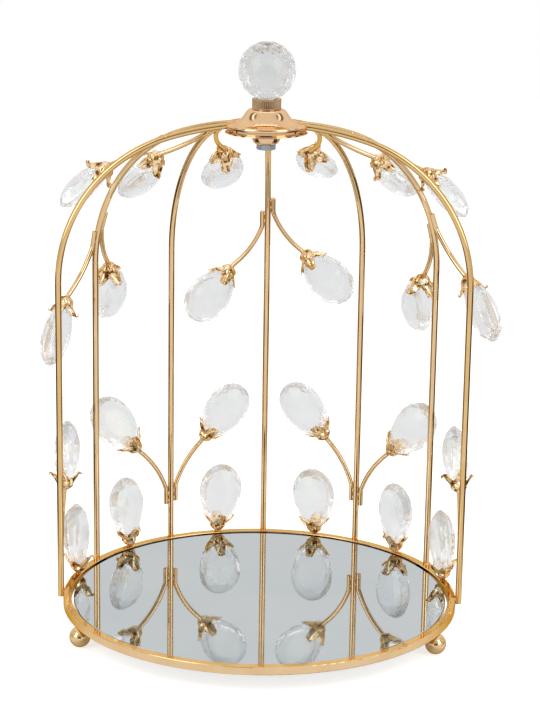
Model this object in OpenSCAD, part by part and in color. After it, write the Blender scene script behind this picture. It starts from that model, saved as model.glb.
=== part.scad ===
// Open half birdcage stand with a mirror tray, crystal buds and a ball finial.
// Millimetres, +Z up, +Y towards the closed back, origin at the centre of the mirror's top face.

/* [Base ring] */
// Radius of the ring bar's centre line
ring_r = 120; // [110:1:135]
// Width and height of the square ring bar
ring_bar = 5; // [4:0.5:7]
// Radius of the ring bar's soft edges
ring_edge = 0.5; // [0.2:0.1:0.8]

/* [Mirror] */
// Radial gap between the mirror's edge and the ring
mirror_gap = 1.5; // [0.5:0.1:3]
// Thickness of the mirror disc
mirror_t = 3; // [2.5:0.5:3.5]
// How far the mirror's face lies below the top of the ring
mirror_drop = 1; // [0.5:0.1:1.2]
// Bevel round the mirror's upper edge
mirror_bevel = 0.4; // [0.2:0.1:0.8]
// Number of tabs that carry the mirror
tab_count = 6; // [4:1:8]
// Angle that one tab spans
tab_angle = 7; // [5:1:12]
// How far a tab reaches in from the ring
tab_reach = 9; // [6:0.5:14]

/* [Feet] */
// Diameter of a ball foot
foot_d = 12.7; // [10:0.1:16]
// Angle of the front feet from the front centre line
foot_spread = 63.5; // [45:0.5:70]
// Depth of the flat on top of each ball foot
foot_flat = 0.4; // [0.2:0.1:0.8]

/* [Cage rods] */
// Diameter of a cage rod
rod_d = 4; // [3:0.1:5]
// Angle between neighbouring rods
rod_step = 30; // [28:1:30]
// Height of the straight part of a rod above the mirror
spring_z = 196.4; // [180:1:240]
// Radius of the bend at the shoulder of a rod
shoulder_r = 94.3; // [88:0.1:106]
// How far the middle of the dome rises above the shoulder bends
dome_lift = 4.7; // [4:0.1:13]
// Radius at which a rod turns straight to enter the crown
rod_straight_r = 27; // [26:0.5:32]
// Radius at which a rod ends inside the crown
rod_tip_r = 11; // [10:0.5:14]
// Gap left for weld or solder between round pieces
solder_gap = 0.05; // [0.03:0.01:0.08]

/* [Crown] */
// Radius of the recessed band between the two lips
core_r = 21.4; // [20:0.1:23]
// Radius of the hub that grips the rod ends
hub_r = 15.5; // [14:0.5:17]
// Height of the hub above the underside of the core
hub_h = 7.2; // [7:0.1:8]
// Height of the core's wide disc
core_h = 3; // [2.6:0.1:3.4]
// Height of the visible band below the bell's lip
band_h = 2.1; // [1.5:0.1:2.4]
// Radius of the bell cap's lip
bell_r = 24; // [23.5:0.1:27]
// Height of the bell cap's lip edge
bell_lip_t = 1.6; // [1.2:0.1:2]
// Radius of the bell cap at its top
bell_top_r = 9.6; // [9:0.1:11]
// Height of the bell cap from its lip to its top
bell_h = 11.4; // [11:0.1:14]
// Radius of the lower saucer
saucer_r = 24.6; // [23.5:0.1:27]
// Thickness of the lower saucer
saucer_t = 1.1; // [0.9:0.1:1.6]

/* [Finial] */
// Diameter of the threaded stud
stud_d = 6; // [5:0.5:6]
// Radial clearance of the stud in its holes
stud_fit = 0.05; // [0.03:0.01:0.09]
// Depth of the stud's hole in the collar
stud_depth = 3.2; // [2:0.1:4]
// Diameter of the knurled collar
collar_d = 17.4; // [16:0.1:18]
// Height of the knurled collar
collar_h = 6.1; // [5.5:0.1:7]
// Height of the plain rims on the collar
collar_rim = 0.9; // [0.7:0.1:1.2]
// Number of knurl grooves
knurl_count = 48; // [30:1:60]
// Depth of a knurl groove
knurl_depth = 0.4; // [0.2:0.05:0.5]
// Diameter of the crystal ball
ball_d = 34.8; // [30:0.1:38]
// Depth of the flat on which the ball sits
ball_flat = 0.6; // [0.4:0.1:1.2]
// Depth of the ball's seat in the collar
ball_seat = 0.5; // [0.3:0.1:0.8]
// Facets round the ball
ball_facets = 16; // [12:2:20]
// Rows of facet corners from pole to pole
ball_rows = 9; // [7:2:11]

/* [Fastening] */
// Diameter of the cup washer where it meets the saucer
cup_d = 17; // [15:0.1:20]
// Diameter of the cup washer's lower face
cup_low_d = 11.4; // [11:0.1:13]
// Height of the cup washer
cup_h = 6.5; // [5:0.1:8]
// Height of the cup washer's straight upper wall
cup_wall_h = 2; // [1:0.1:3]
// Width of the hex nut across its flats
nut_af = 10; // [9:0.5:10]
// Height of the hex nut
nut_h = 3.2; // [3:0.1:5]
// Length of stud below the nut
stud_proud = 0.2; // [0.1:0.1:0.4]

/* [Crystal buds] */
// Full length of a crystal drop
drop_len = 43; // [36:0.5:48]
// Full width of a crystal drop
drop_w = 29; // [24:0.5:32]
// Thickness of a crystal drop
drop_t = 13; // [9:0.5:14]
// Thickness of the plain edge band round a drop
drop_edge = 1; // [0.6:0.1:1.6]
// Length cut off the drop's pointed end
drop_cut = 1; // [0.6:0.1:1.6]
// Facet corners round half of a drop's outline
drop_facets = 10; // [8:1:12]
// Height of the crystal's seat above the bud's base
bud_seat = 3.2; // [2.6:0.1:4]
// Height of a calyx from its base to its petal tips
calyx_h = 12.4; // [11:0.1:14]
// Thickness of the calyx sheet
calyx_t = 0.7; // [0.5:0.1:1]
// Gap between the petals and the crystal's edge
petal_gap = 0.35; // [0.2:0.05:0.6]
// Width of a petal
petal_w = 8.6; // [7:0.1:10]
// Radius of the bead under each calyx
bead_r = 1.7; // [1.5:0.1:2.2]

/* [Stems] */
// Diameter of a stem
stem_d = 3.1; // [2.2:0.1:3.3]
// Length of stem that lies along its rod
stem_weld = 9; // [7:0.5:12]
// Radius of the tight bend where a stem leaves its rod
heel_r = 9; // [7:0.5:12]
// Angle of the tight bend where a stem leaves its rod
heel_bend = 20; // [15:1:24]
// Radius of a stem's long bend
stem_bend_r = 64; // [56:1:70]
// Angle of a stem's long bend
stem_bend = 27; // [24:1:30]
// Straight length of a stem between its long bend and its bud
stem_tail = 4; // [3:0.5:6]
// Height of the cut ends of the lower stems above the mirror
lower_z = 24.5; // [20:0.5:30]
// Angle up the shoulder at which the longer upper stems start
upper_angle_l = 12.6; // [10:0.1:16]
// Angle up the shoulder at which the shorter upper stems start
upper_angle_r = 18; // [16:0.1:22]
// Angle from the end of a shoulder bend back to the crown stems
crown_back = 4.1; // [1:0.1:8]
// Extra downward tilt of the crown stems
crown_droop = 10.5; // [4:0.5:14]

/* [Hidden] */
$fn = 64;
eps = 0.01;
knot_proud = 0.05;
knot_gap = 0.1;
half = 0.5;
turn = 360;
right = 90;
ring_top = mirror_drop;
ring_low = ring_top - ring_bar;
ring_out = ring_r + ring_bar * half;
ring_in = ring_r - ring_bar * half;
mirror_r = ring_in - mirror_gap;
tab_t = ring_bar - mirror_drop - mirror_t;
tab_clear = 0.02;
foot_r = foot_d * half;
foot_z = ring_low + foot_flat - foot_r;
rod_r = rod_d * half;
rod_line = ring_out + rod_r + solder_gap;
shoulder_y = rod_line - shoulder_r;
dome_rise = shoulder_r + dome_lift;
crown_arc_r = (rod_line * rod_line + dome_rise * dome_rise - 2 * rod_line * shoulder_r) / (2 * dome_lift);
crown_arc_z = spring_z + dome_rise - crown_arc_r;
meet_angle = atan2(crown_arc_r - dome_rise, shoulder_y);
crown_angle = meet_angle - crown_back;
end_angle = acos(rod_straight_r / crown_arc_r);
rod_in_z = crown_arc_z + crown_arc_r * sin(end_angle);
rod_meet_y = shoulder_y + shoulder_r * cos(meet_angle);
rod_meet_z = spring_z + shoulder_r * sin(meet_angle);
rod_in_len = (rod_straight_r - rod_tip_r) / sin(end_angle);
core_z = rod_in_z - rod_r - half;
bell_z = core_z + band_h;
bell_top_z = bell_z + bell_h;
saucer_z = core_z - saucer_t;
cup_z = saucer_z - cup_h;
nut_z = cup_z - nut_h;
stud_z = nut_z - stud_proud;
stud_r = stud_d * half;
hole_r = stud_r + stud_fit;
collar_r = collar_d * half;
collar_z = bell_top_z;
collar_top = collar_z + collar_h;
ball_r = ball_d * half;
ball_z = collar_top - ball_seat + ball_r - ball_flat;
ball_flat_r = sqrt(ball_r * ball_r - (ball_r - ball_flat) * (ball_r - ball_flat));
stem_r = stem_d * half;
stem_side = rod_r + stem_r + solder_gap;
stem_lean = heel_bend + stem_bend;
stem_end_t = stem_side + heel_r * (1 - cos(heel_bend))
    + stem_bend_r * (cos(heel_bend) - cos(stem_lean)) + stem_tail * sin(stem_lean);
stem_end_s = stem_weld + heel_r * sin(heel_bend)
    + stem_bend_r * (sin(stem_lean) - sin(heel_bend)) + stem_tail * cos(stem_lean);
bud_len = bud_seat + drop_len - drop_cut;

// Angles of the base buds, from the back.
base_bays = [-76, -47, -15, 17, 47.5, 76];
// Rod that carries each stem, and the side of the rod it lies on.
lower_rods = [[-90, 1], [-30, -1], [-30, 1], [30, -1], [30, 1], [90, -1]];
upper_rods = [[-60, -1], [-60, 1], [0, -1], [0, 1], [60, -1], [60, 1]];
crown_rods = [[-90, 1], [-30, -1], [-30, 1], [30, -1], [30, 1], [90, -1]];
// Lean of each bud: its run outward, round the cage and upward.
base_lean = [[2, -2, 46], [8, 2, 46], [6, 5, 46], [-2, -2, 46], [2, -4, 46], [-2, -1, 46]];
lower_lean = [[4, 25, 39], [15, -25, 35], [1, 30, 36], [0, -30, 34], [9, 29, 35], [2, -32, 34]];
upper_lean = [[6, -17, -42], [15, 18, -40], [5, -27, -38], [9, 31, -34], [11, -20, -40], [11, 26, -36]];
crown_lean = [[36, 11, -27], [33, 0, -32], [34, 5, -30], [41, -4, -21], [37, -3, -28], [33, -13, -29]];
// How far each hand-set lower stem sits from the common height, and each upper stem from its angle.
lower_shift = [-6, -1.5, 0, 2.5, 0, -2.5];
upper_shift = [-2.4, -0.6, -0.5, 0, 2.4, 2];

gold = [0.85, 0.72, 0.52];
deep_gold = [0.80, 0.62, 0.38];
zinc = [0.55, 0.60, 0.66];
clear_grey = [0.88, 0.89, 0.90];
mirror_grey = [0.74, 0.76, 0.78];

// Half width of a drop at distance s from its full point.
taper_in = 0.7;
taper_out = 0.5;
widest = taper_in / (taper_in + taper_out);
peak = pow(widest, taper_in) * pow(1 - widest, taper_out);
function drop_half(s) = drop_w * half * pow(s / drop_len, taper_in) * pow(1 - s / drop_len, taper_out) / peak;

// Turns the +Y direction to an angle from the back; +X then points round the cage.
module at_bay(a) {
    rotate([0, 0, -a])
        children();
}

// Lengths of bent wire stop just short of each other, and a ball a hair wider joins them.
function arc_gap(bend_r) = knot_gap / bend_r * 180 / PI;
module wire_knot(wire_r) {
    sphere(r = wire_r + knot_proud);
}

// Arc of round wire in the plane of +Y and +Z.
module wire_arc(bend_r, wire_r, from, to) {
    rotate([right, 0, right])
        rotate([0, 0, from])
            rotate_extrude(angle = to - from)
                translate([bend_r, 0])
                    circle(r = wire_r);
}

// Inner end of a rod where it runs straight into the crown.
module rod_end(extra) {
    translate([0, rod_straight_r, rod_in_z])
        rotate([end_angle, 0, 0])
            translate([0, 0, -extra])
                cylinder(r = rod_r + extra, h = rod_in_len + 2 * extra);
}

module cage_rod(a) {
    color(gold)
        at_bay(a) {
            translate([0, rod_line, ring_low])
                cylinder(r = rod_r, h = spring_z - ring_low);
            translate([0, shoulder_y, spring_z])
                wire_arc(shoulder_r, rod_r, arc_gap(shoulder_r), meet_angle - arc_gap(shoulder_r));
            translate([0, 0, crown_arc_z])
                wire_arc(crown_arc_r, rod_r, meet_angle + arc_gap(crown_arc_r), end_angle - arc_gap(crown_arc_r));
            rod_end(0);
            for (p = [[rod_line, spring_z], [rod_meet_y, rod_meet_z], [rod_straight_r, rod_in_z]])
                translate([0, p[0], p[1]])
                    wire_knot(rod_r);
        }
}

// Rod channels, cut from the same straight rod ends with the solder gap.
module rod_channels() {
    for (i = [-3 : 3])
        at_bay(i * rod_step)
            rod_end(solder_gap);
}

// Square with round corners, its lower left corner at the origin.
module soft_square(w, r) {
    translate([r, 0])
        square([w - 2 * r, w]);
    translate([0, r])
        square([w, w - 2 * r]);
    for (x = [r, w - r], y = [r, w - r])
        translate([x, y])
            circle(r = r);
}

module base_ring() {
    color(gold)
        rotate_extrude()
            translate([ring_in, ring_low])
                soft_square(ring_bar, ring_edge);
}

module mirror_disc() {
    color(mirror_grey) {
        translate([0, 0, -mirror_t])
            cylinder(r = mirror_r, h = mirror_t - mirror_bevel);
        translate([0, 0, -mirror_bevel])
            cylinder(r1 = mirror_r, r2 = mirror_r - mirror_bevel, h = mirror_bevel);
    }
}

module mirror_tabs() {
    color(deep_gold)
        for (i = [0 : tab_count - 1])
            rotate([0, 0, (i + half) * turn / tab_count - tab_angle * half])
                rotate_extrude(angle = tab_angle)
                    translate([ring_in - tab_reach, ring_low])
                        square([tab_reach - tab_clear, tab_t]);
}

module ball_foot(a) {
    color(gold)
        rotate([0, 0, a])
            translate([0, -ring_r, foot_z])
                difference() {
                    sphere(r = foot_r);
                    translate([-foot_r, -foot_r, foot_r - foot_flat])
                        cube([foot_d, foot_d, foot_d]);
                }
}

module crown_core() {
    color(deep_gold)
        difference() {
            union() {
                translate([0, 0, core_z])
                    cylinder(r = core_r, h = core_h);
                translate([0, 0, core_z])
                    cylinder(r = hub_r, h = hub_h);
            }
            translate([0, 0, core_z - 1])
                cylinder(r = hole_r, h = hub_h + 2);
            rod_channels();
        }
}

// Height of the bell's surface: a dome above, flaring out into the lip.
bell_steps = 14;
bell_flare = bell_r - 0.8;
function bell_surface(t) = (1 + cos(t * 180)) * half;
function bell_pt(i) =
    let (t = i / bell_steps)
    [bell_top_r + (bell_flare - bell_top_r) * pow(t, 0.9),
     bell_z + bell_lip_t + 1 + (bell_h - bell_lip_t - 1) * bell_surface(t)];

module bell_cap() {
    color(gold)
        difference() {
            rotate_extrude()
                polygon(concat(
                    [[hole_r, bell_z]],
                    [[hole_r, bell_top_z]],
                    [for (i = [0 : bell_steps]) bell_pt(i)],
                    [[bell_r, bell_z + bell_lip_t]],
                    [[bell_r, bell_z + 0.3]],
                    [[bell_r - 0.3, bell_z]]));
            translate([0, 0, bell_z - 1])
                cylinder(r = core_r + solder_gap, h = core_z + core_h - bell_z + 1 + solder_gap);
            translate([0, 0, bell_z - 1])
                cylinder(r = hub_r + solder_gap, h = core_z + hub_h - bell_z + 1);
            rod_channels();
        }
}

module saucer() {
    color(gold)
        rotate_extrude()
            polygon([
                [hole_r, saucer_z],
                [saucer_r - 1.2, saucer_z],
                [saucer_r - 0.3, saucer_z + 0.25],
                [saucer_r, saucer_z + saucer_t * half],
                [saucer_r - 0.2, saucer_z + saucer_t - 0.15],
                [saucer_r - 0.6, saucer_z + saucer_t],
                [hole_r, saucer_z + saucer_t]]);
}

cup_steps = 8;
module cup_washer() {
    cup_r = cup_d * half;
    low_r = cup_low_d * half;
    bowl_h = cup_h - cup_wall_h;
    color(deep_gold)
        rotate_extrude()
            polygon(concat(
                [[hole_r, saucer_z]],
                [[cup_r, saucer_z]],
                [for (i = [0 : cup_steps])
                    let (a = i * right / cup_steps)
                    [low_r + (cup_r - low_r) * cos(a), saucer_z - cup_wall_h - bowl_h * sin(a)]],
                [[hole_r, cup_z]]));
}

module hex_nut() {
    nut_r = nut_af * half / cos(30);
    chamfer = nut_r - nut_af * half * 1.02;
    rise = chamfer * tan(30);
    color(zinc)
        translate([0, 0, nut_z])
            difference() {
                intersection() {
                    cylinder(r = nut_r, h = nut_h, $fn = 6);
                    union() {
                        cylinder(r1 = nut_r - chamfer, r2 = nut_r + eps, h = rise);
                        translate([0, 0, rise])
                            cylinder(r = nut_r + eps, h = nut_h - 2 * rise);
                        translate([0, 0, nut_h - rise])
                            cylinder(r1 = nut_r + eps, r2 = nut_r - chamfer, h = rise);
                    }
                }
                translate([0, 0, -1])
                    cylinder(r = hole_r, h = nut_h + 2);
            }
}

module stud() {
    color(zinc)
        translate([0, 0, stud_z])
            cylinder(r = stud_r, h = collar_z + stud_depth - stud_z);
}

module knurled_collar() {
    groove = knurl_depth * sqrt(2);
    color(gold)
        difference() {
            translate([0, 0, collar_z])
                cylinder(r = collar_r, h = collar_h);
            translate([0, 0, collar_z - 1])
                cylinder(r = stud_r + solder_gap * half, h = stud_depth + 1);
            translate([0, 0, collar_top - ball_seat])
                cylinder(r = ball_flat_r + 2, h = ball_seat + 1);
            for (i = [0 : knurl_count - 1])
                rotate([0, 0, i * turn / knurl_count])
                    translate([collar_r, 0, collar_z + collar_rim])
                        rotate([0, 0, 45])
                            translate([-groove * half, -groove * half, 0])
                                cube([groove, groove, collar_h - 2 * collar_rim]);
        }
}

// Staggered rings of facet corners between two small flats.
module crystal_ball() {
    n = ball_facets;
    low = -asin((ball_r - ball_flat) / ball_r);
    span = -2 * low;
    rows = ball_rows;
    pts = [for (j = [0 : rows - 1], i = [0 : n - 1])
        let (lat = low + span * j / (rows - 1), a = (i + (j % 2) * half) * turn / n)
        [ball_r * cos(lat) * cos(a), ball_r * cos(lat) * sin(a), ball_r * sin(lat)]];
    sides = [for (j = [0 : rows - 2], i = [0 : n - 1])
        let (k = (i + 1) % n, lo = j * n, hi = (j + 1) * n, odd = j % 2)
        each (odd == 0
            ? [[lo + i, hi + i, lo + k], [lo + k, hi + i, hi + k]]
            : [[lo + i, hi + i, hi + k], [lo + i, hi + k, lo + k]])];
    bottom = [[for (i = [0 : n - 1]) i]];
    top = [[for (i = [n - 1 : -1 : 0]) (rows - 1) * n + i]];
    color(clear_grey)
        translate([0, 0, ball_z])
            polyhedron(points = pts, faces = concat(sides, bottom, top));
}

// Outline of a drop: its point is cut flat, the far end is round.
function outline(n) =
    let (cut_a = acos(1 - 2 * drop_cut / drop_len))
    [for (i = [0 : n - 1])
        let (a = cut_a + (turn - 2 * cut_a) * i / (n - 1), s = drop_len * (1 - cos(a)) * half)
        [(a <= 180 ? 1 : -1) * drop_half(s), s - drop_cut]];

// Faceted crystal drop standing on its cut end, with its wide faces towards +Y and -Y.
module crystal_drop() {
    n = 2 * drop_facets;
    mid = drop_len * 0.54 - drop_cut;
    shape = outline(n);
    half_t = drop_t * half;
    half_e = drop_edge * half;
    levels = [[0.52, -half_t], [0.82, -half_t * 0.66], [1, -half_e], [1, half_e], [0.82, half_t * 0.66], [0.52, half_t]];
    count = len(levels);
    pts = [for (l = levels, p = shape)
        [p[0] * l[0], l[1], mid + (p[1] - mid) * l[0]]];
    sides = [for (j = [0 : count - 2], i = [0 : n - 1])
        let (k = (i + 1) % n, lo = j * n, hi = (j + 1) * n)
        each ((i + j) % 2 == 0
            ? [[lo + i, lo + k, hi + i], [lo + k, hi + k, hi + i]]
            : [[lo + i, lo + k, hi + k], [lo + i, hi + k, hi + i]])];
    front = [[for (i = [n - 1 : -1 : 0]) i]];
    back = [[for (i = [0 : n - 1]) (count - 1) * n + i]];
    color(clear_grey)
        translate([0, 0, bud_seat])
            polyhedron(points = pts, faces = concat(sides, front, back));
}

// One calyx: a bead, a small cone and a flared cup cut into four petals round the drop's edge.
calyx_steps = 4;
function calyx_in(i) =
    let (h = bud_seat + (calyx_h - bud_seat) * i / calyx_steps)
    [drop_half(h - bud_seat + drop_cut) + petal_gap, h];
module calyx() {
    floor_r = calyx_in(0)[0];
    shell = concat(
        [for (i = [0 : calyx_steps]) calyx_in(i)],
        [for (i = [calyx_steps : -1 : 0]) [calyx_in(i)[0] + calyx_t, calyx_in(i)[1]]]);
    color(deep_gold) {
        intersection() {
            rotate_extrude()
                polygon(shell);
            union() {
                cylinder(r = floor_r + calyx_t + 2, h = bud_seat + 1.4);
                for (a = [0, right])
                    rotate([0, 0, a])
                        translate([0, 0, calyx_h - petal_w * half]) {
                            rotate([0, right, 0])
                                cylinder(r = petal_w * half, h = 4 * petal_w, center = true);
                            translate([-2 * petal_w, -petal_w * 0.36, -calyx_h])
                                cube([4 * petal_w, petal_w * 0.72, calyx_h]);
                        }
            }
        }
        cylinder(r1 = bead_r, r2 = floor_r + calyx_t, h = bud_seat);
        sphere(r = bead_r, $fn = 32);
    }
}

// Turns +Z to a direction given by its run outward (+Y), sideways (+X) and upward.
// The wide face of what is turned stays towards +Y.
module lean_to(v) {
    side = atan2(v[1], v[2]);
    out = atan2(v[0], sqrt(v[1] * v[1] + v[2] * v[2]));
    rotate([0, side, 0])
        rotate([-out, 0, 0])
            children();
}

// Arc of a stem's wire, from along +Z towards +X, with what follows it set on its end.
module stem_arc(bend_r, bend) {
    translate([bend_r, 0, 0])
        rotate([right, 0, 0])
            rotate([0, 0, 180 - bend + arc_gap(bend_r)])
                rotate_extrude(angle = bend - 2 * arc_gap(bend_r))
                    translate([bend_r, 0])
                        circle(r = stem_r);
    translate([bend_r * (1 - cos(bend)), 0, bend_r * sin(bend)])
        rotate([0, bend, 0]) {
            wire_knot(stem_r);
            children();
        }
}

// Stem of round wire: along its rod, round a tight bend and a long one, to the bead of its bud.
module stem() {
    color(gold)
        translate([stem_side, 0, 0]) {
            cylinder(r = stem_r, h = stem_weld);
            translate([0, 0, stem_weld]) {
                wire_knot(stem_r);
                stem_arc(heel_r, heel_bend)
                    stem_arc(stem_bend_r, stem_bend)
                        difference() {
                            cylinder(r = stem_r, h = stem_tail);
                            translate([0, 0, stem_tail])
                                sphere(r = bead_r + solder_gap);
                        }
            }
        }
}

// Where a stem starts: on the rod's centre line, with +Z along the rod and +X to its side.
module post_start(rod, z) {
    at_bay(rod[0])
        translate([0, rod_line, z])
            rotate([0, 0, rod[1] < 0 ? 180 : 0])
                children();
}
module shoulder_start(rod, angle, droop) {
    at_bay(rod[0])
        translate([0, shoulder_y, spring_z])
            rotate([angle, 0, 0])
                translate([0, shoulder_r, 0])
                    rotate([180 - droop, 0, 0])
                        translate([0, 0, -stem_weld * half])
                            rotate([0, 0, rod[1] < 0 ? 180 : 0])
                                children();
}

// Where a stem ends, as [sideways, outward, height] in the plane of its rod.
stem_run = stem_end_s - stem_weld * half;
function post_end(rod, z) = [rod[1] * stem_end_t, rod_line, z + stem_end_s];
function shoulder_end(rod, angle, droop) = [
    rod[1] * stem_end_t,
    shoulder_y + shoulder_r * cos(angle) + stem_run * sin(angle - droop),
    spring_z + shoulder_r * sin(angle) - stem_run * cos(angle - droop)];

// Puts a bud at a stem's end, turned to face away from the cage's axis.
module at_end(rod, end, lean) {
    at_bay(rod[0] + atan2(end[0], end[1]))
        translate([0, sqrt(end[0] * end[0] + end[1] * end[1]), end[2]])
            lean_to(lean)
                children();
}

function upper_angle(i) = (i % 2 == 0 ? upper_angle_l : upper_angle_r) + upper_shift[i];
module base_bud(i) {
    at_bay(base_bays[i])
        translate([0, ring_r, ring_top + bead_r * half])
            lean_to(base_lean[i])
                children();
}
module lower_bud(i) {
    at_end(lower_rods[i], post_end(lower_rods[i], lower_z + lower_shift[i]), lower_lean[i])
        children();
}
module upper_bud(i) {
    at_end(upper_rods[i], shoulder_end(upper_rods[i], upper_angle(i), 0), upper_lean[i])
        children();
}
module crown_bud(i) {
    at_end(crown_rods[i], shoulder_end(crown_rods[i], crown_angle, crown_droop), crown_lean[i])
        children();
}

last = len(base_bays) - 1;
module lower_stems() {
    for (i = [0 : last])
        post_start(lower_rods[i], lower_z + lower_shift[i])
            stem();
}
module upper_stems() {
    for (i = [0 : last])
        shoulder_start(upper_rods[i], upper_angle(i), 0)
            stem();
}
module crown_stems() {
    for (i = [0 : last])
        shoulder_start(crown_rods[i], crown_angle, crown_droop)
            stem();
}

// The calyxes of the base row are cut flat where they stand on the ring.
module base_calyxes() {
    difference() {
        for (i = [0 : last])
            base_bud(i)
                calyx();
        translate([0, 0, ring_top - ring_bar])
            cylinder(r = ring_out + ring_bar, h = ring_bar);
    }
}
module lower_calyxes() {
    for (i = [0 : last])
        lower_bud(i)
            calyx();
}
module upper_calyxes() {
    for (i = [0 : last])
        upper_bud(i)
            calyx();
}
module crown_calyxes() {
    for (i = [0 : last])
        crown_bud(i)
            calyx();
}

base_ring();
mirror_disc();
mirror_tabs();
ball_foot(-foot_spread);  // foot_front_left
ball_foot(foot_spread);  // foot_front_right
ball_foot(180);  // foot_back
cage_rod(-3 * rod_step);  // rod_left_90
cage_rod(-2 * rod_step);  // rod_left_60
cage_rod(-rod_step);  // rod_left_30
cage_rod(0);  // rod_back
cage_rod(rod_step);  // rod_right_30
cage_rod(2 * rod_step);  // rod_right_60
cage_rod(3 * rod_step);  // rod_right_90
crown_core();
bell_cap();
saucer();
cup_washer();
hex_nut();
stud();
knurled_collar();
crystal_ball();
lower_stems();
upper_stems();
crown_stems();
base_calyxes();
lower_calyxes();
upper_calyxes();
crown_calyxes();
base_bud(0) crystal_drop();  // base_drop_1
base_bud(1) crystal_drop();  // base_drop_2
base_bud(2) crystal_drop();  // base_drop_3
base_bud(3) crystal_drop();  // base_drop_4
base_bud(4) crystal_drop();  // base_drop_5
base_bud(5) crystal_drop();  // base_drop_6
lower_bud(0) crystal_drop();  // lower_drop_1
lower_bud(1) crystal_drop();  // lower_drop_2
lower_bud(2) crystal_drop();  // lower_drop_3
lower_bud(3) crystal_drop();  // lower_drop_4
lower_bud(4) crystal_drop();  // lower_drop_5
lower_bud(5) crystal_drop();  // lower_drop_6
upper_bud(0) crystal_drop();  // upper_drop_1
upper_bud(1) crystal_drop();  // upper_drop_2
upper_bud(2) crystal_drop();  // upper_drop_3
upper_bud(3) crystal_drop();  // upper_drop_4
upper_bud(4) crystal_drop();  // upper_drop_5
upper_bud(5) crystal_drop();  // upper_drop_6
crown_bud(0) crystal_drop();  // crown_drop_1
crown_bud(1) crystal_drop();  // crown_drop_2
crown_bud(2) crystal_drop();  // crown_drop_3
crown_bud(3) crystal_drop();  // crown_drop_4
crown_bud(4) crystal_drop();  // crown_drop_5
crown_bud(5) crystal_drop();  // crown_drop_6
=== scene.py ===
# Half birdcage display stand: looks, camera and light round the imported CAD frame.
# The scene is in metres. Meshes are worked out in mm, and new_object turns them into metres.
import math
import bpy
from mathutils import Matrix, Vector


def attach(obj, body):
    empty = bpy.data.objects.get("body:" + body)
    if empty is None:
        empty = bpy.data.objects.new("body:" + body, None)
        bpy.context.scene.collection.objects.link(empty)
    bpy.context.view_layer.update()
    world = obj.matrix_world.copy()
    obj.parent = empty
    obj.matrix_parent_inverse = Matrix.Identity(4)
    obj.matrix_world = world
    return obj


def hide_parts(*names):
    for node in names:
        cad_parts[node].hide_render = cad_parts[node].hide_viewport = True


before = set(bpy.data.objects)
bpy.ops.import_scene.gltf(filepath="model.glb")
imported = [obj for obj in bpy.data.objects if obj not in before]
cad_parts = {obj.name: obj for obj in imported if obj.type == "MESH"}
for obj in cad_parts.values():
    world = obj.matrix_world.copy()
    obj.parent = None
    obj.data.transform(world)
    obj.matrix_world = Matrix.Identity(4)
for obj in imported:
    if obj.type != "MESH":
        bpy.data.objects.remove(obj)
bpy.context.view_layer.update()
scene = bpy.context.scene
MM = 0.001

# ---------------------------------------------------------------- sizes, as in the CAD
# Lengths are in mm and angles in degrees.
RING_R, RING_TOP, FLOOR_Z = 120.0, 1.0, -16.3
ROD_R, ROD_LINE, SPRING_Z = 2.0, 124.55, 196.4
SHOULDER_R, SHOULDER_Y = 94.3, 30.25
STEM_WELD, STEM_END_T, STEM_END_S, STEM_RUN = 9.0, 23.56, 39.72, 35.22
LOWER_Z = (18.5, 23.0, 24.5, 27.0, 24.5, 22.0)
UPPER_ANGLES = (10.2, 17.4, 12.1, 18.0, 15.0, 20.0)
CROWN_ANGLE, CROWN_DROOP = 68.24, 10.5
BASE_BEAD_R = 1.7
DROP_LEN, DROP_W, DROP_CUT = 43.0, 29.0, 1.0
DROP_RISE, DROP_FALL = 0.7, 0.5
BUD_SEAT = 3.2
BAYS = (-76, -47, -15, 17, 47.5, 76)

# The rod that carries each stem, as its angle and the side of the rod that the stem leaves on.
LOWER_RODS = ((-90, 1), (-30, -1), (-30, 1), (30, -1), (30, 1), (90, -1))
UPPER_RODS = ((-60, -1), (-60, 1), (0, -1), (0, 1), (60, -1), (60, 1))
CROWN_RODS = LOWER_RODS

# Which way each bud points: outwards, to the side and up.
BASE_LEAN = ((2, -2, 46), (8, 2, 46), (6, 5, 46), (-2, -2, 46), (2, -4, 46), (-2, -1, 46))
LOWER_LEAN = (
    (4, 25, 39), (15, -25, 35), (1, 30, 36), (0, -30, 34), (9, 29, 35), (2, -32, 34))
UPPER_LEAN = (
    (6, -17, -42), (15, 18, -40), (5, -27, -38), (9, 31, -34), (11, -20, -40), (11, 26, -36))
CROWN_LEAN = (
    (36, 11, -27), (33, 0, -32), (34, 5, -30), (41, -4, -21), (37, -3, -28), (33, -13, -29))


# ---------------------------------------------------------------- placing, as in the CAD
def rot(axis, degrees):
    return Matrix.Rotation(math.radians(degrees), 4, axis)


def move(x, y, z):
    return Matrix.Translation(Vector((x, y, z)))


def at_bay(angle):
    return rot("Z", -angle)


def lean_to(v):
    side = math.degrees(math.atan2(v[1], v[2]))
    out = math.degrees(math.atan2(v[0], math.hypot(v[1], v[2])))
    return rot("Y", side) @ rot("X", -out)


def at_end(rod, end, lean):
    turn = math.degrees(math.atan2(end[0], end[1]))
    return at_bay(rod[0] + turn) @ move(0, math.hypot(end[0], end[1]), end[2]) @ lean_to(lean)


def shoulder_end(rod, angle, droop):
    a, b = math.radians(angle), math.radians(angle - droop)
    return (
        rod[1] * STEM_END_T,
        SHOULDER_Y + SHOULDER_R * math.cos(a) + STEM_RUN * math.sin(b),
        SPRING_Z + SHOULDER_R * math.sin(a) - STEM_RUN * math.cos(b),
    )


def rod_side(rod):
    return rot("Z", 180 if rod[1] < 0 else 0)


def post_start(rod, z):
    return at_bay(rod[0]) @ move(0, ROD_LINE, z) @ rod_side(rod)


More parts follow.
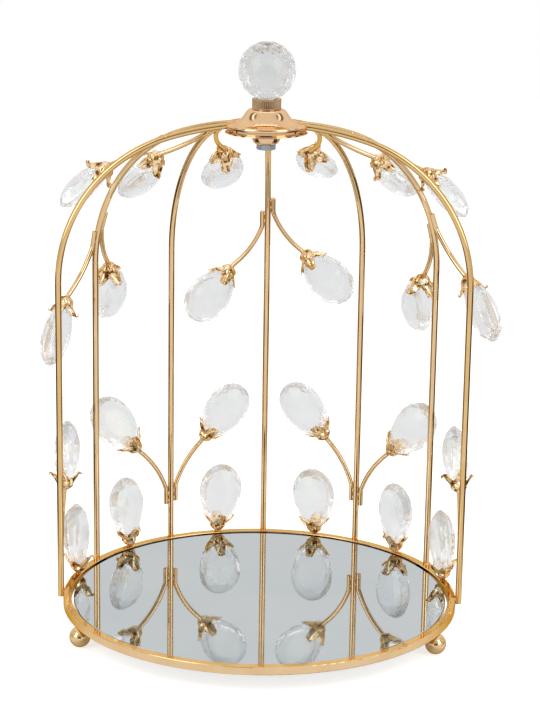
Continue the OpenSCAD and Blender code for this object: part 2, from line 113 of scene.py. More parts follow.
def shoulder_start(rod, angle, droop):
    shoulder = at_bay(rod[0]) @ move(0, SHOULDER_Y, SPRING_Z) @ rot("X", angle)
    along = move(0, SHOULDER_R, 0) @ rot("X", 180 - droop) @ move(0, 0, -STEM_WELD / 2)
    return shoulder @ along @ rod_side(rod)


def bud_places(row):
    """The foot of each of a row's 6 calyxes, with Z along its drop."""
    if row == "base":
        on_ring = move(0, RING_R, RING_TOP + BASE_BEAD_R / 2)
        return [at_bay(bay) @ on_ring @ lean_to(lean) for bay, lean in zip(BAYS, BASE_LEAN)]
    if row == "lower":
        return [
            at_end(rod, (rod[1] * STEM_END_T, ROD_LINE, z + STEM_END_S), lean)
            for rod, z, lean in zip(LOWER_RODS, LOWER_Z, LOWER_LEAN)]
    if row == "upper":
        return [
            at_end(rod, shoulder_end(rod, angle, 0), lean)
            for rod, angle, lean in zip(UPPER_RODS, UPPER_ANGLES, UPPER_LEAN)]
    return [
        at_end(rod, shoulder_end(rod, CROWN_ANGLE, CROWN_DROOP), lean)
        for rod, lean in zip(CROWN_RODS, CROWN_LEAN)]


def stem_starts(row):
    """The start of the weld of each of a row's 6 stems."""
    if row == "lower":
        return [post_start(rod, z) for rod, z in zip(LOWER_RODS, LOWER_Z)]
    if row == "upper":
        return [shoulder_start(rod, angle, 0) for rod, angle in zip(UPPER_RODS, UPPER_ANGLES)]
    return [shoulder_start(rod, CROWN_ANGLE, CROWN_DROOP) for rod in CROWN_RODS]


# ---------------------------------------------------------------- shader helpers
NOISE_RANGE = (0.3, 0.7)        # nearly all of a noise texture lies in here
ANY_BOUNCE = 0.5                # a ray depth above this is one bounce or more


def plug(tree, socket, value):
    """A number goes on the socket itself, and an output is linked to it."""
    if isinstance(value, (int, float)):
        socket.default_value = value
    else:
        tree.links.new(value, socket)


def noise(tree, scale, detail):
    coord = tree.nodes.new("ShaderNodeTexCoord")
    tex = tree.nodes.new("ShaderNodeTexNoise")
    tex.inputs["Scale"].default_value = scale
    tex.inputs["Detail"].default_value = detail
    tree.links.new(coord.outputs["Object"], tex.inputs["Vector"])
    return tex.outputs["Fac"]


def ramp(tree, fac, stops):
    node = tree.nodes.new("ShaderNodeValToRGB")
    while len(node.color_ramp.elements) < len(stops):
        node.color_ramp.elements.new(0.5)
    for el, (pos, col) in zip(node.color_ramp.elements, stops):
        el.position = pos
        el.color = (*col, 1)
    tree.links.new(fac, node.inputs["Fac"])
    return node.outputs["Color"]


def map_range(tree, value, source, target=(0.0, 1.0)):
    node = tree.nodes.new("ShaderNodeMapRange")
    names = ("From Min", "From Max", "To Min", "To Max")
    for name, number in zip(names, (*source, *target)):
        node.inputs[name].default_value = number
    tree.links.new(value, node.inputs["Value"])
    return node.outputs["Result"]


def math_node(tree, operation, *values):
    node = tree.nodes.new("ShaderNodeMath")
    node.operation = operation
    for socket, value in zip(node.inputs, values):
        plug(tree, socket, value)
    return node.outputs[0]


def blend_value(tree, fac, a, b):
    """a where fac is 0 and b where it is 1, each a number or a socket."""
    node = tree.nodes.new("ShaderNodeMix")
    node.data_type = "FLOAT"
    for number, value in ((0, fac), (2, a), (3, b)):
        plug(tree, node.inputs[number], value)
    return node.outputs[0]


# ---------------------------------------------------------------- materials
CLOUD_DETAIL, TINT_DETAIL, FINE_DETAIL, MIRROR_DETAIL = 4.0, 3.0, 2.0, 4.0
# The spots are painted shade: near-black patches scattered by the noise that stand for the shade in
# the leaves' folds.
PAINTED_SHADE_STOPS = (0.36, 0.42, 0.66)     # where spots end, and the clouds begin and end
FINE_GRAIN = 9                      # the fine grain's scale, by the scale of the clouds
BUMP_STRENGTH = 0.25
GLASS_IOR, FILM_NM, FILM_IOR = 1.50, 420, 1.36
GLASS_GRAIN, GLASS_FINE, GLASS_ROUGH = 90, 400, (0.0, 0.012)
MIRROR_GRAIN, MIRROR_FINE, MIRROR_ROUGH = 14, 240, (0.012, 0.05)


def shaded(name):
    mat = bpy.data.materials.new(name)
    mat.use_nodes = True
    tree = mat.node_tree
    return mat, tree, tree.nodes["Principled BSDF"]


def metal(name, low, high, edge, rough, grain, bump_depth, painted_shade=None):
    """Plated metal, clouded from low to high. Where a colour is given for them, near-black spots of
    painted shade are scattered by the noise.
    """
    mat, tree, bsdf = shaded(name)
    bsdf.inputs["Metallic"].default_value = 1.0
    bsdf.inputs["Specular Tint"].default_value = (*edge, 1)
    stops = zip(PAINTED_SHADE_STOPS, (painted_shade, low, high)) if painted_shade else zip(NOISE_RANGE, (low, high))
    cloud = noise(tree, grain, CLOUD_DETAIL)
    tree.links.new(ramp(tree, cloud, tuple(stops)), bsdf.inputs["Base Color"])
    fine = noise(tree, grain * FINE_GRAIN, FINE_DETAIL)
    tree.links.new(map_range(tree, fine, NOISE_RANGE, rough), bsdf.inputs["Roughness"])
    bump = tree.nodes.new("ShaderNodeBump")
    bump.inputs["Strength"].default_value = BUMP_STRENGTH
    bump.inputs["Distance"].default_value = bump_depth
    tree.links.new(fine, bump.inputs["Height"])
    tree.links.new(bump.outputs["Normal"], bsdf.inputs["Normal"])
    return mat


gold = metal(
    "plated_gold", (0.74, 0.51, 0.275), (0.80, 0.575, 0.325), edge=(0.72, 0.46, 0.14),
    rough=(0.04, 0.08), grain=60, bump_depth=0.00001)
# A darker copy of the plated gold, painted shade, for the two side rods, which are the same wire as
# the others.
side_rod_shaded_gold = metal(
    "side_rod_painted_shade_gold", (0.68, 0.44, 0.19), (0.76, 0.52, 0.25), edge=(0.66, 0.40, 0.11),
    rough=(0.04, 0.08), grain=60, bump_depth=0.00001)
crown_gold = metal(
    "plated_crown_gold", (0.72, 0.475, 0.27), (0.79, 0.54, 0.325), edge=(0.88, 0.72, 0.56),
    rough=(0.03, 0.07), grain=60, bump_depth=0.00001)
# The stamped leaves get near-black spots of painted shade for the shade in their folds.
leaf_gold = metal(
    "stamped_leaf_gold", (0.74, 0.48, 0.21), (0.98, 0.84, 0.62), edge=(0.74, 0.44, 0.14),
    rough=(0.03, 0.08), grain=260, bump_depth=0.00001, painted_shade=(0.20, 0.08, 0.025))
solder_gold = metal(
    "solder_gold", (0.80, 0.62, 0.40), (0.88, 0.72, 0.50), edge=(0.90, 0.78, 0.58),
    rough=(0.16, 0.26), grain=200, bump_depth=0.00003)
knurl_gold = metal(
    "knurled_gold", (0.42, 0.28, 0.17), (0.58, 0.41, 0.26), edge=(0.80, 0.62, 0.44),
    rough=(0.10, 0.18), grain=200, bump_depth=0.00003)
zinc = metal(
    "zinc_plate", (0.30, 0.34, 0.40), (0.44, 0.48, 0.54), edge=(0.8, 0.85, 0.9),
    rough=(0.20, 0.34), grain=300, bump_depth=0.00003)


def crystal_material(name, low, high, solid):
    """Cut glass. A part of the light passes straight through, which keeps the edges pale."""
    mat, tree, bsdf = shaded(name)
    bsdf.inputs["Transmission Weight"].default_value = 1.0
    bsdf.inputs["IOR"].default_value = GLASS_IOR
    bsdf.inputs["Alpha"].default_value = solid
    bsdf.inputs["Thin Film Thickness"].default_value = FILM_NM
    bsdf.inputs["Thin Film IOR"].default_value = FILM_IOR
    tint = ramp(tree, noise(tree, GLASS_GRAIN, TINT_DETAIL), tuple(zip(NOISE_RANGE, (low, high))))
    tree.links.new(tint, bsdf.inputs["Base Color"])
    fine = noise(tree, GLASS_FINE, FINE_DETAIL)
    tree.links.new(map_range(tree, fine, NOISE_RANGE, GLASS_ROUGH), bsdf.inputs["Roughness"])
    return mat


def mirror_material(low, high):
    mat, tree, bsdf = shaded("silvered_mirror")
    bsdf.inputs["Metallic"].default_value = 1.0
    tint = ramp(tree, noise(tree, MIRROR_GRAIN, TINT_DETAIL), tuple(zip(NOISE_RANGE, (low, high))))
    tree.links.new(tint, bsdf.inputs["Base Color"])
    fine = noise(tree, MIRROR_FINE, MIRROR_DETAIL)
    tree.links.new(map_range(tree, fine, NOISE_RANGE, MIRROR_ROUGH), bsdf.inputs["Roughness"])
    return mat


drop_crystal = crystal_material("drop_crystal", (0.69, 0.70, 0.705), (0.76, 0.77, 0.775), 0.72)
ball_crystal = crystal_material("ball_crystal", (0.58, 0.59, 0.595), (0.66, 0.67, 0.675), 0.76)
mirror = mirror_material((0.435, 0.47, 0.483), (0.475, 0.50, 0.51))

# The drops are crystal, and what isn't named here is gold.
# The two side rods get the darker copy of the gold, painted shade.
SURFACES = {
    "mirror_disc": mirror, "hex_nut": zinc, "stud": zinc, "crystal_ball": ball_crystal,
    "knurled_collar": knurl_gold, "crown_core": crown_gold, "saucer": crown_gold,
    "cup_washer": crown_gold, "rod_left_90": side_rod_shaded_gold, "rod_right_90": side_rod_shaded_gold,
}
for name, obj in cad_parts.items():
    obj.data.materials.clear()
    obj.data.materials.append(SURFACES.get(name, drop_crystal if "_drop_" in name else gold))


# ---------------------------------------------------------------- mesh helpers
GOLDEN_SHARE = 0.61803398875


def new_object(name, verts, faces, mat, smooth=True):
    mesh = bpy.data.meshes.new(name)
    mesh.from_pydata([tuple(c * MM for c in v) for v in verts], [], faces)
    mesh.validate()
    mesh.update()
    mesh.materials.append(mat)
    if smooth:
        mesh.polygons.foreach_set("use_smooth", [True] * len(mesh.polygons))
    obj = bpy.data.objects.new(name, mesh)
    scene.collection.objects.link(obj)
    return obj


def add_part(whole, part, place):
    """Adds the points and faces of a part, moved to its place, to those of the whole."""
    base = len(whole[0])
    whole[0].extend(tuple(place @ Vector(v)) for v in part[0])
    whole[1].extend(tuple(base + q for q in f) for f in part[1])


def lathe(profile, count, closed=False):
    """A profile of (r, z) that runs up the outside, turned round Z. A closed profile joins its
    last point to its first, and an open one gets a flat face at both ends."""
    verts, faces = [], []
    for r, z in profile:
        for k in range(count):
            a = math.tau * k / count
            verts.append((r * math.cos(a), r * math.sin(a), z))
    rings = len(profile)
    for j in range(rings if closed else rings - 1):
        this, after = j * count, (j + 1) % rings * count
        for k in range(count):
            n = (k + 1) % count
            faces.append((this + k, this + n, after + n, after + k))
    if not closed:
        faces.append(tuple(range(count - 1, -1, -1)))
        faces.append(tuple(range((rings - 1) * count, rings * count)))
    return verts, faces


def wobble(seed):
    """A fixed, even scatter between -1 and 1."""
    return 2 * ((seed * GOLDEN_SHARE) % 1.0) - 1


def drop_half(s):
    """Half the drop's width at s mm from its point."""
    total = DROP_RISE + DROP_FALL
    peak = (DROP_RISE / total) ** DROP_RISE * (DROP_FALL / total) ** DROP_FALL
    s = min(max(s / DROP_LEN, 0.0), 1.0)
    return DROP_W / 2 * s ** DROP_RISE * (1 - s) ** DROP_FALL / peak


# ---------------------------------------------------------------- calyx petals
PETAL_ROWS, PETAL_COLS = 26, 25
PETAL_T = 0.45
PETAL_RISE = 10.6                               # height where a petal starts to curl
PETAL_GAP, PETAL_SPLAY = 0.65, 0.16             # clear of the drop, and the least outward lean
PETAL_FOOT = ((1.5, 0.2), (2.9, 0.9), (3.9, 2.1), (4.5, 3.4))   # (r, z) along the bowl
PATH_STEP, PATH_POINTS, CURL_STEPS = 0.2, 80, 14
PATH_LAST = 0.9999                              # the furthest share of its path a point takes

# The outline, by shares of the petal's length and width.
FOOT_WIDTH, WIDEST = 0.56, 0.55
TIP_LOSS, TIP_LOSS_POWER = 0.30, 1.6
SIDE_LOBE, SIDE_WAVES, SIDE_START = 0.10, 7.5, 0.3
TIP_REACH, TIP_ROUND, TIP_ROUND_POWER = 0.93, 0.26, 2.6
TIP_LOBE, TIP_WAVES, TIP_TURN = 0.07, 3.5, 0.4
WRAP_SHARE, WRAP_MORE = 0.62, 1.5               # how tightly a petal bends round its drop

# The folds, mm off the smooth sheet, with their waves along the petal and across it.
VEIN, VEIN_WIDTH, VEIN_DIP = 0.75, 0.30, 0.25
CRUMPLE, CRUMPLE_ALONG, CRUMPLE_ACROSS = 0.55, (7.5, 2.4), (-2.0, 3.4)
RUFFLE, RUFFLE_ALONG, RUFFLE_ACROSS = 0.9, 2.6 * math.pi, 2.0
FOLD_START = 0.25

# Reach towards the drop's line, curl in degrees and radius of the curl, for the petals on the
# drop's faces and at its edges, and how much each number scatters.
FACE_PETAL, EDGE_PETAL = (0.66, 185, 1.3), (0.96, 80, 1.0)
REACH_SCATTER, CURL_SCATTER, CURL_R_SCATTER = 0.05, 35, 0.15
AZIMUTHS, FACE_AZIMUTHS, AZIMUTH_SCATTER = (0, 90, 180, 270), (90, 270), 7
PETAL_W, PETAL_W_SCATTER, PHASE_SCATTER = 4.7, 0.4, 3
ROW_SEED, BUD_SEED, PETAL_SEED = 40, 7, 3


def petal_path(reach, curl, curl_r):
    """Points (r, z) up from the bowl of the calyx along the drop, then round the outward curl."""
    path = []
    for a, b in zip(PETAL_FOOT, PETAL_FOOT[1:]):
        count = max(int(math.dist(a, b) / PATH_STEP), 1)
        path += [Vector(a).lerp(Vector(b), k / count) for k in range(count)]
    start_r, start_h = PETAL_FOOT[-1]
    h = start_h
    while h < PETAL_RISE:
        out = drop_half(h - BUD_SEAT + DROP_CUT) + PETAL_GAP
        splay = max(out - start_r, PETAL_SPLAY * (h - start_h))
        path.append(Vector((start_r + splay * reach, h)))
        h += PATH_STEP
    along = path[-1] - path[-4]
    lean = math.atan2(along.x, along.y)
    turn = math.radians(curl) / CURL_STEPS
    for _ in range(CURL_STEPS):
        lean += turn
        path.append(path[-1] + Vector((math.sin(lean), math.cos(lean))) * curl_r * turn)
    return path


def path_table(path, count):
    """The path as points at equal shares of its length."""
    lengths = [0.0]
    for a, b in zip(path, path[1:]):
        lengths.append(lengths[-1] + (b - a).length)
    table, k = [], 1
    for n in range(count + 1):
        want = lengths[-1] * n / count
        while k < len(path) - 1 and lengths[k] < want:
            k += 1
        t = (want - lengths[k - 1]) / max(lengths[k] - lengths[k - 1], 1e-9)
        table.append(path[k - 1].lerp(path[k], min(max(t, 0.0), 1.0)))
    return table


def petal_width(v, phase):
    """The petal's half width at share v of its length, by its greatest."""
    w = FOOT_WIDTH + (1 - FOOT_WIDTH) * math.sin(math.pi / 2 * min(v / WIDEST, 1.0))
    w *= 1 - TIP_LOSS * max((v - WIDEST) / (1 - WIDEST), 0) ** TIP_LOSS_POWER
    return w * (1 + SIDE_LOBE * math.sin(SIDE_WAVES * math.pi * v + phase) * min(v / SIDE_START, 1))


def petal_share(u, v, phase):
    """How far along its path a point lies: the tip is rounded and lobed."""
    lobe = TIP_LOBE * math.cos(TIP_WAVES * math.pi * u + TIP_TURN * phase)
    return v * (TIP_REACH - TIP_ROUND * abs(u) ** TIP_ROUND_POWER + lobe * v * v)


def petal_fold(u, v, phase):
    """How far the sheet stands off its path: a vein, crumples and a ruffled edge."""
    vein = VEIN * math.exp(-((u / VEIN_WIDTH) ** 2)) - VEIN_DIP
    crumple = CRUMPLE * math.sin(CRUMPLE_ALONG[0] * v + CRUMPLE_ALONG[1] * u + phase)
    crumple *= math.cos(CRUMPLE_ACROSS[0] * v + CRUMPLE_ACROSS[1] * u + phase)
    ruffle = RUFFLE * u * u * math.sin(RUFFLE_ALONG * v + RUFFLE_ACROSS * u + phase)
    return (vein + crumple + ruffle) * min(v / FOLD_START, 1)


def petal(azimuth, reach, curl, curl_r, width, phase):
    """One stamped leaf: cupped round the drop, veined, crumpled, lobed and rolled outwards."""
    table = path_table(petal_path(reach, curl, curl_r), PATH_POINTS)
    verts, faces = [], []
    for i in range(PETAL_ROWS):
        v = i / (PETAL_ROWS - 1)
        for j in range(PETAL_COLS):
            u = -1 + 2 * j / (PETAL_COLS - 1)
            n = min(petal_share(u, v, phase), PATH_LAST) * PATH_POINTS
            r, h = table[int(n)].lerp(table[int(n) + 1], n % 1)
            wrap = WRAP_SHARE * r + WRAP_MORE
            a = u * width * petal_width(v, phase) / wrap
            x = r - wrap * (1 - math.cos(a)) + petal_fold(u, v, phase)
            verts.append(rot("Z", azimuth) @ Vector((x, wrap * math.sin(a), h)))
    for i in range(PETAL_ROWS - 1):
        for j in range(PETAL_COLS - 1):
            a = i * PETAL_COLS + j
            faces.append((a, a + 1, a + PETAL_COLS + 1, a + PETAL_COLS))
    return verts, faces


# ---------------------------------------------------------------- calyx bowls and rows
BOWL = (
    (0.3, -1.65), (1.2, -1.25), (1.68, -0.35), (1.75, 0.15), (2.4, 0.45), (3.2, 1.1),
    (3.8, 2.2), (4.1, 3.2), (3.8, 3.5), (3.0, 3.3), (1.6, 3.4))
BOWL_RIBS = 16
RIB_OUT, RIB_IN, RIB_Z, RIB_RUN = 0.05, -0.07, 0.4, 1.2


def calyx_bowl():
    """The small ribbed bowl that a drop's point stands in, on a short neck."""
    verts, faces = lathe(BOWL, BOWL_RIBS * 2)
    ribbed = []
    for n, (x, y, z) in enumerate(verts):
        ridge = 1.0 + (RIB_OUT if n % 2 else RIB_IN) * min(max((z - RIB_Z) / RIB_RUN, 0), 1)
        ribbed.append((x * ridge, y * ridge, z))
    return ribbed, faces


def calyx_row(row, seed):
    leaves, bowls, bowl = ([], []), ([], []), calyx_bowl()
    for i, place in enumerate(bud_places(row)):
        for k, azimuth in enumerate(AZIMUTHS):
            s = seed + BUD_SEED * i + PETAL_SEED * k
            reach, curl, curl_r = FACE_PETAL if azimuth in FACE_AZIMUTHS else EDGE_PETAL
            leaf = petal(
                azimuth + AZIMUTH_SCATTER * wobble(s),
                reach + REACH_SCATTER * wobble(s + 1),
                curl + CURL_SCATTER * wobble(s + 2),
                curl_r + CURL_R_SCATTER * wobble(s + 3),
                PETAL_W + PETAL_W_SCATTER * wobble(s + 4),
                PHASE_SCATTER * wobble(s + 5))
            add_part(leaves, leaf, place)
        add_part(bowls, bowl, place)
    petals = new_object(row + "_petals", *leaves, leaf_gold)
    solid = petals.modifiers.new("thickness", "SOLIDIFY")
    solid.thickness = PETAL_T * MM
    solid.offset = 0.0
    cups = new_object(row + "_calyx_cups", *bowls, leaf_gold)
    for piece in (petals, cups):
        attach(piece, "cage")
    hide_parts(row + "_calyxes")
    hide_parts(row + "_calyxes")


for number, row in enumerate(("base", "lower", "upper", "crown")):
    calyx_row(row, ROW_SEED * number + 1)


# ---------------------------------------------------------------- bell cap
BELL_Z, BELL_TOP_Z = 293.1, 304.5
BELL_TOP_R, BELL_FLARE_R, BELL_FLARE_Z, BELL_BORE_R = 9.6, 23.2, 295.6, 3.05
BELL_EDGE_R, BELL_EDGE_Z = 0.4, 0.15            # the broken edge round its flat top
BELL_STEPS, BELL_TURN = 40, 160
BELL_KNEE, BELL_POWER = 0.34, 2.6
# (r, z above the bell's foot): the rolled lip, and then the open inside.
BELL_LIP = ((23.88, 1.95), (24.0, 1.3), (24.0, 0.3), (23.7, 0.0))
BELL_INSIDE = ((21.5, 0.0), (21.5, 1.4), (15.6, 1.6), (BELL_BORE_R, 5.2))


def bell_rise(share):
    """Height of the bell, from 1 at its top to 0 at its flare, by the share of the way out."""
    rise, end = (1 / (1 + (s / BELL_KNEE) ** BELL_POWER) for s in (share, 1.0))
    return (rise - end) / (1 - end)


def bell_cap():
    """The bell as one spun shell: a steep shoulder, a wide flare, a rolled lip, open inside."""
    profile = [(BELL_BORE_R, BELL_TOP_Z), (BELL_TOP_R - BELL_EDGE_R, BELL_TOP_Z)]
    for k in range(BELL_STEPS + 1):
        t = k / BELL_STEPS
        profile.append((
            BELL_TOP_R + (BELL_FLARE_R - BELL_TOP_R) * t,
            BELL_FLARE_Z + (BELL_TOP_Z - BELL_EDGE_Z - BELL_FLARE_Z) * bell_rise(t)))
    profile += [(r, BELL_Z + z) for r, z in BELL_LIP + BELL_INSIDE]
    bell = new_object("spun_bell", *lathe(profile[::-1], BELL_TURN, closed=True), crown_gold)
    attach(bell, "cage")
    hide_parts("bell_cap")


bell_cap()

# ---------------------------------------------------------------- solder beads
BEAD_RINGS, BEAD_SIDES = 7, 12
BEAD_LUMP, LUMPS_ROUND, LUMPS_UP = 0.12, 3, 2
STEM_BEAD, STEM_BEAD_SINK = (0.62, 1.35, 1.9), 0.02
STEM_BEADS_AT = (1.6, STEM_WELD - 2.2)          # mm along the weld
FOOT_BEAD, FOOT_BEAD_R, FOOT_BEAD_Z = (2.3, 0.7, 2.1), RING_R + 2.45, -1.5
ROD_ANGLES = (-90, -60, -30, 0, 30, 60, 90)


def bead(half_size, seed):
    """A small lump of solder: a ball drawn out along Z with an uneven skin."""
    verts, faces = [], []
    for j in range(BEAD_RINGS):
        t = math.pi * (j + 0.5) / BEAD_RINGS
        for k in range(BEAD_SIDES):
            a = math.tau * k / BEAD_SIDES
            lump = 1 + BEAD_LUMP * math.sin(LUMPS_ROUND * a + seed) * math.sin(LUMPS_UP * t + seed)
            verts.append((
                half_size[0] * lump * math.sin(t) * math.cos(a),
                half_size[1] * lump * math.sin(t) * math.sin(a),
                half_size[2] * math.cos(t)))
    for j in range(BEAD_RINGS - 1):
        for k in range(BEAD_SIDES):
            a, b = j * BEAD_SIDES + k, j * BEAD_SIDES + (k + 1) % BEAD_SIDES
            faces.append((a, a + BEAD_SIDES, b + BEAD_SIDES, b))
    faces.append(tuple(range(BEAD_SIDES)))
    faces.append(tuple(range(BEAD_RINGS * BEAD_SIDES - 1, (BEAD_RINGS - 1) * BEAD_SIDES - 1, -1)))
    return verts, faces


def solder_piece(name, places, half_size):
    beads = ([], [])
    for n, place in enumerate(places):
        add_part(beads, bead(half_size, n), place)
    obj = new_object(name, *beads, solder_gold)
    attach(obj, "cage")


for row in ("lower", "upper", "crown"):
    spots = [
        start @ move(ROD_R + STEM_BEAD_SINK, 0, along)
        for start in stem_starts(row) for along in STEM_BEADS_AT]
    solder_piece(row + "_solder", spots, STEM_BEAD)
solder_piece(
    "rod_solder", [at_bay(angle) @ move(0, FOOT_BEAD_R, FOOT_BEAD_Z) for angle in ROD_ANGLES],
    FOOT_BEAD)

# ---------------------------------------------------------------- studio
# What metal and glass see all round, as brightness by share of the half turn from the camera's
# side (0) to the back (1): the floor, the walls up to about 20 degrees, and the walls above that.
FLOOR_VIEW = ((0.0, 1.0), (0.33, 1.0), (0.42, 0.06), (0.62, 0.06), (0.76, 0.92), (1.0, 1.0))
LOW_VIEW = (
    (0.0, 0.07), (0.09, 0.10), (0.13, 1.10), (0.40, 0.90), (0.45, 0.65), (0.57, 0.65),
    (0.64, 0.95), (1.0, 1.0))
HIGH_VIEW = (
    (0.0, 0.66), (0.38, 0.74), (0.41, 0.10), (0.45, 0.12), (0.47, 1.6), (0.53, 1.6),
    (0.55, 0.12), (0.58, 0.15), (0.64, 1.0), (1.0, 1.1))
TOP_VIEW = 1.0
# The floor's brightness under the stand, round it and far off, and between which distances from
# its middle, in metres, one passes into the next. FLOOR_VIEW holds between NEAR_TO and FAR_TO.
# The darker floor under the stand is a painted shadow that metal and glass see in their reflections
# of the floor.
UNDER_STAND_SHADOW, NEAR_FLOOR, FAR_FLOOR = 0.42, 0.97, 0.78
UNDER_SHADOW_TO, NEAR_TO, FAR_TO = (0.116, 0.138), (0.175, 0.34), (1.2, 1.7)
# Between which heights of a ray's direction (0 level, 1 up) one wall passes into the next.
HORIZON, LOW_TO, HIGH_TO = (-0.02, 0.02), (0.30, 0.40), (0.70, 0.85)
# The light's colour by its brightness: what is dark in the metal is warm.
WARM_DARKS = ((0.0, (1.0, 0.70, 0.25)), (0.45, (1.0, 0.90, 0.74)), (0.85, (1.0, 1.0, 1.0)))
# Glass sees an even light with a share of the pattern in it, brighter after a reflection.
GLASS_LEVEL, GLASS_PATTERN, GLASS_GAIN = 0.92, 0.3, 1.35
FLOOR_R, FLOOR_SIDES = 2600, 96
FLOOR_COLOR, FLOOR_GLOW, WORLD_LIGHT = 0.80, 0.66, 0.55


def compass(tree, vector):
    """Share of the half turn from the camera's side, distance along Z, distance from Z."""
    parts = tree.nodes.new("ShaderNodeSeparateXYZ")
    tree.links.new(vector, parts.inputs[0])
    x, y, z = parts.outputs
    angle = math_node(
        tree, "ARCTAN2", math_node(tree, "ABSOLUTE", x), math_node(tree, "MULTIPLY", y, -1.0))
    squares = math_node(
        tree, "ADD", math_node(tree, "MULTIPLY", x, x), math_node(tree, "MULTIPLY", y, y))
    return math_node(tree, "DIVIDE", angle, math.pi), z, math_node(tree, "SQRT", squares)


def view_level(tree, share, view):
    """Brightness of one view. A ramp holds no more than 1, so a brighter view is scaled."""
    gain = max(level for _, level in view)
    color = ramp(tree, share, [(pos, (level / gain,) * 3) for pos, level in view])
    return math_node(tree, "MULTIPLY", color, gain)


def through_glass(tree, path):
    """1 for a ray that goes through glass or has been inside it."""
    inside = math_node(tree, "GREATER_THAN", path.outputs["Transmission Depth"], ANY_BOUNCE)
    return math_node(tree, "MAXIMUM", inside, path.outputs["Is Transmission Ray"])


def floor_material():
    mat = bpy.data.materials.new("white_floor")
    mat.use_nodes = True
    tree = mat.node_tree
    tree.nodes.clear()
    link = tree.links.new
    path = tree.nodes.new("ShaderNodeLightPath")
    coord = tree.nodes.new("ShaderNodeTexCoord")
    share, _, reach = compass(tree, coord.outputs["Object"])
    # Under the stand the floor is darker: a painted shadow for reflected and refracted rays.
    shade = blend_value(tree, map_range(tree, reach, UNDER_SHADOW_TO), UNDER_STAND_SHADOW, NEAR_FLOOR)
    pattern = view_level(tree, share, FLOOR_VIEW)
    shade = blend_value(tree, map_range(tree, reach, NEAR_TO), shade, pattern)
    shade = blend_value(tree, map_range(tree, reach, FAR_TO), shade, FAR_FLOOR)
    glass = blend_value(tree, GLASS_PATTERN, GLASS_LEVEL, shade)
    seen = blend_value(tree, through_glass(tree, path), shade, glass)
    bounce = tree.nodes.new("ShaderNodeEmission")
    link(seen, bounce.inputs["Strength"])
    link(ramp(tree, seen, WARM_DARKS), bounce.inputs["Color"])
    diffuse = tree.nodes.new("ShaderNodeBsdfDiffuse")
    diffuse.inputs["Color"].default_value = (FLOOR_COLOR, FLOOR_COLOR, FLOOR_COLOR, 1)
    glow = tree.nodes.new("ShaderNodeEmission")
    strength = math_node(tree, "MULTIPLY", path.outputs["Is Camera Ray"], FLOOR_GLOW)
    link(strength, glow.inputs["Strength"])
    add = tree.nodes.new("ShaderNodeAddShader")
    link(diffuse.outputs[0], add.inputs[0])
    link(glow.outputs[0], add.inputs[1])
    mix = tree.nodes.new("ShaderNodeMixShader")
    mirrored = math_node(
        tree, "MAXIMUM", path.outputs["Is Glossy Ray"], path.outputs["Is Transmission Ray"])
    link(mirrored, mix.inputs[0])
    link(add.outputs[0], mix.inputs[1])
    link(bounce.outputs[0], mix.inputs[2])
    out = tree.nodes.new("ShaderNodeOutputMaterial")
    link(mix.outputs[0], out.inputs["Surface"])
    return mat


def studio_world():
    world = bpy.data.worlds.new("studio")
    world.use_nodes = True
    tree = world.node_tree
    tree.nodes.clear()
    path = tree.nodes.new("ShaderNodeLightPath")
    coord = tree.nodes.new("ShaderNodeTexCoord")
    share, height, _ = compass(tree, coord.outputs["Generated"])
    low, high = view_level(tree, share, LOW_VIEW), view_level(tree, share, HIGH_VIEW)
    shade = blend_value(tree, map_range(tree, height, HORIZON), FAR_FLOOR, low)
    shade = blend_value(tree, map_range(tree, height, LOW_TO), shade, high)
    shade = blend_value(tree, map_range(tree, height, HIGH_TO), shade, TOP_VIEW)
    reflected = math_node(tree, "GREATER_THAN", path.outputs["Glossy Depth"], ANY_BOUNCE)
    gain = blend_value(tree, reflected, 1.0, GLASS_GAIN)
    glass = math_node(
        tree, "MULTIPLY", blend_value(tree, GLASS_PATTERN, GLASS_LEVEL, shade), gain)
    level = blend_value(tree, path.outputs["Is Glossy Ray"], WORLD_LIGHT, shade)
    level = blend_value(tree, through_glass(tree, path), level, glass)
    level = blend_value(tree, path.outputs["Is Camera Ray"], level, 1.0)
    tint = ramp(tree, blend_value(tree, path.outputs["Is Glossy Ray"], 1.0, level), WARM_DARKS)
    back = tree.nodes.new("ShaderNodeBackground")
    tree.links.new(tint, back.inputs["Color"])
    tree.links.new(level, back.inputs["Strength"])
    out = tree.nodes.new("ShaderNodeOutputWorld")
    tree.links.new(back.outputs[0], out.inputs["Surface"])
    return world


def floor_disc():
    turns = [math.tau * k / FLOOR_SIDES for k in range(FLOOR_SIDES)]
    verts = [(FLOOR_R * math.cos(a), FLOOR_R * math.sin(a), FLOOR_Z) for a in turns]
    return new_object("floor", verts, [tuple(range(FLOOR_SIDES))], floor_material(), smooth=False)


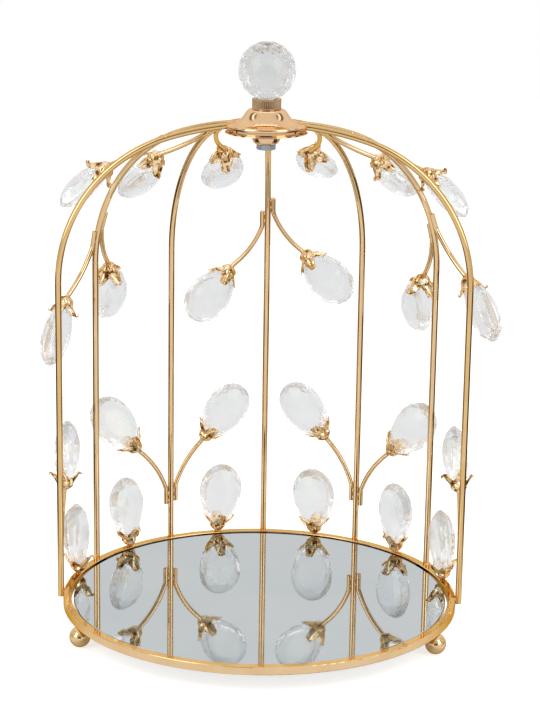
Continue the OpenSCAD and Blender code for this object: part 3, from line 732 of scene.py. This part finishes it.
floor = floor_disc()
scene.world = studio_world()

# ---------------------------------------------------------------- lamps
SIDE_BOX, TOP_BOX = (0.7, 1.1), (1.2, 1.2)      # metres
SIDE_POWER, TOP_POWER = 5, 8                    # watts


def soft_box(name, place, target, size, power):
    lamp = bpy.data.lights.new(name, "AREA")
    lamp.shape = "RECTANGLE"
    lamp.size, lamp.size_y = size
    lamp.energy = power
    obj = bpy.data.objects.new(name, lamp)
    scene.collection.objects.link(obj)
    obj.location = place
    obj.rotation_euler = (Vector(target) - Vector(place)).to_track_quat("-Z", "Y").to_euler()
    return obj


soft_box("box_left", (-0.95, -0.85, 0.75), (0, 0, 0.15), SIDE_BOX, SIDE_POWER)
soft_box("box_right", (0.95, -0.85, 0.75), (0, 0, 0.15), SIDE_BOX, SIDE_POWER)
soft_box("box_top", (0, 0.1, 1.5), (0, 0, 0.1), TOP_BOX, TOP_POWER).visible_glossy = False

# ---------------------------------------------------------------- camera, fitted to the photograph
FOCAL_PIXELS, PICTURE_PIXELS, SENSOR = 2143.2, 720, 36
CAMERA_PLACE = (0.0182, -1.26508, 0.47513)
PAN, PITCH, ROLL = -0.630, 14.367, 0.890


def fitted_camera():
    cam = bpy.data.cameras.new("camera")
    cam.sensor_width = SENSOR
    cam.lens = FOCAL_PIXELS * SENSOR / PICTURE_PIXELS
    obj = bpy.data.objects.new("camera", cam)
    scene.collection.objects.link(obj)
    pan, pitch, roll = (math.radians(a) for a in (PAN, PITCH, ROLL))
    level = Vector((math.sin(pan), math.cos(pan), 0))
    forward = level * math.cos(pitch) - Vector((0, 0, math.sin(pitch)))
    right = forward.cross(Vector((0, 0, 1))).normalized()
    up = right.cross(forward)
    cam_right = right * math.cos(roll) + up * math.sin(roll)
    cam_up = up * math.cos(roll) - right * math.sin(roll)
    axes = Matrix((cam_right, cam_up, -forward)).transposed()
    obj.matrix_world = Matrix.Translation(CAMERA_PLACE) @ axes.to_4x4()
    return obj


scene.camera = fitted_camera()
scene.view_settings.view_transform = "Standard"
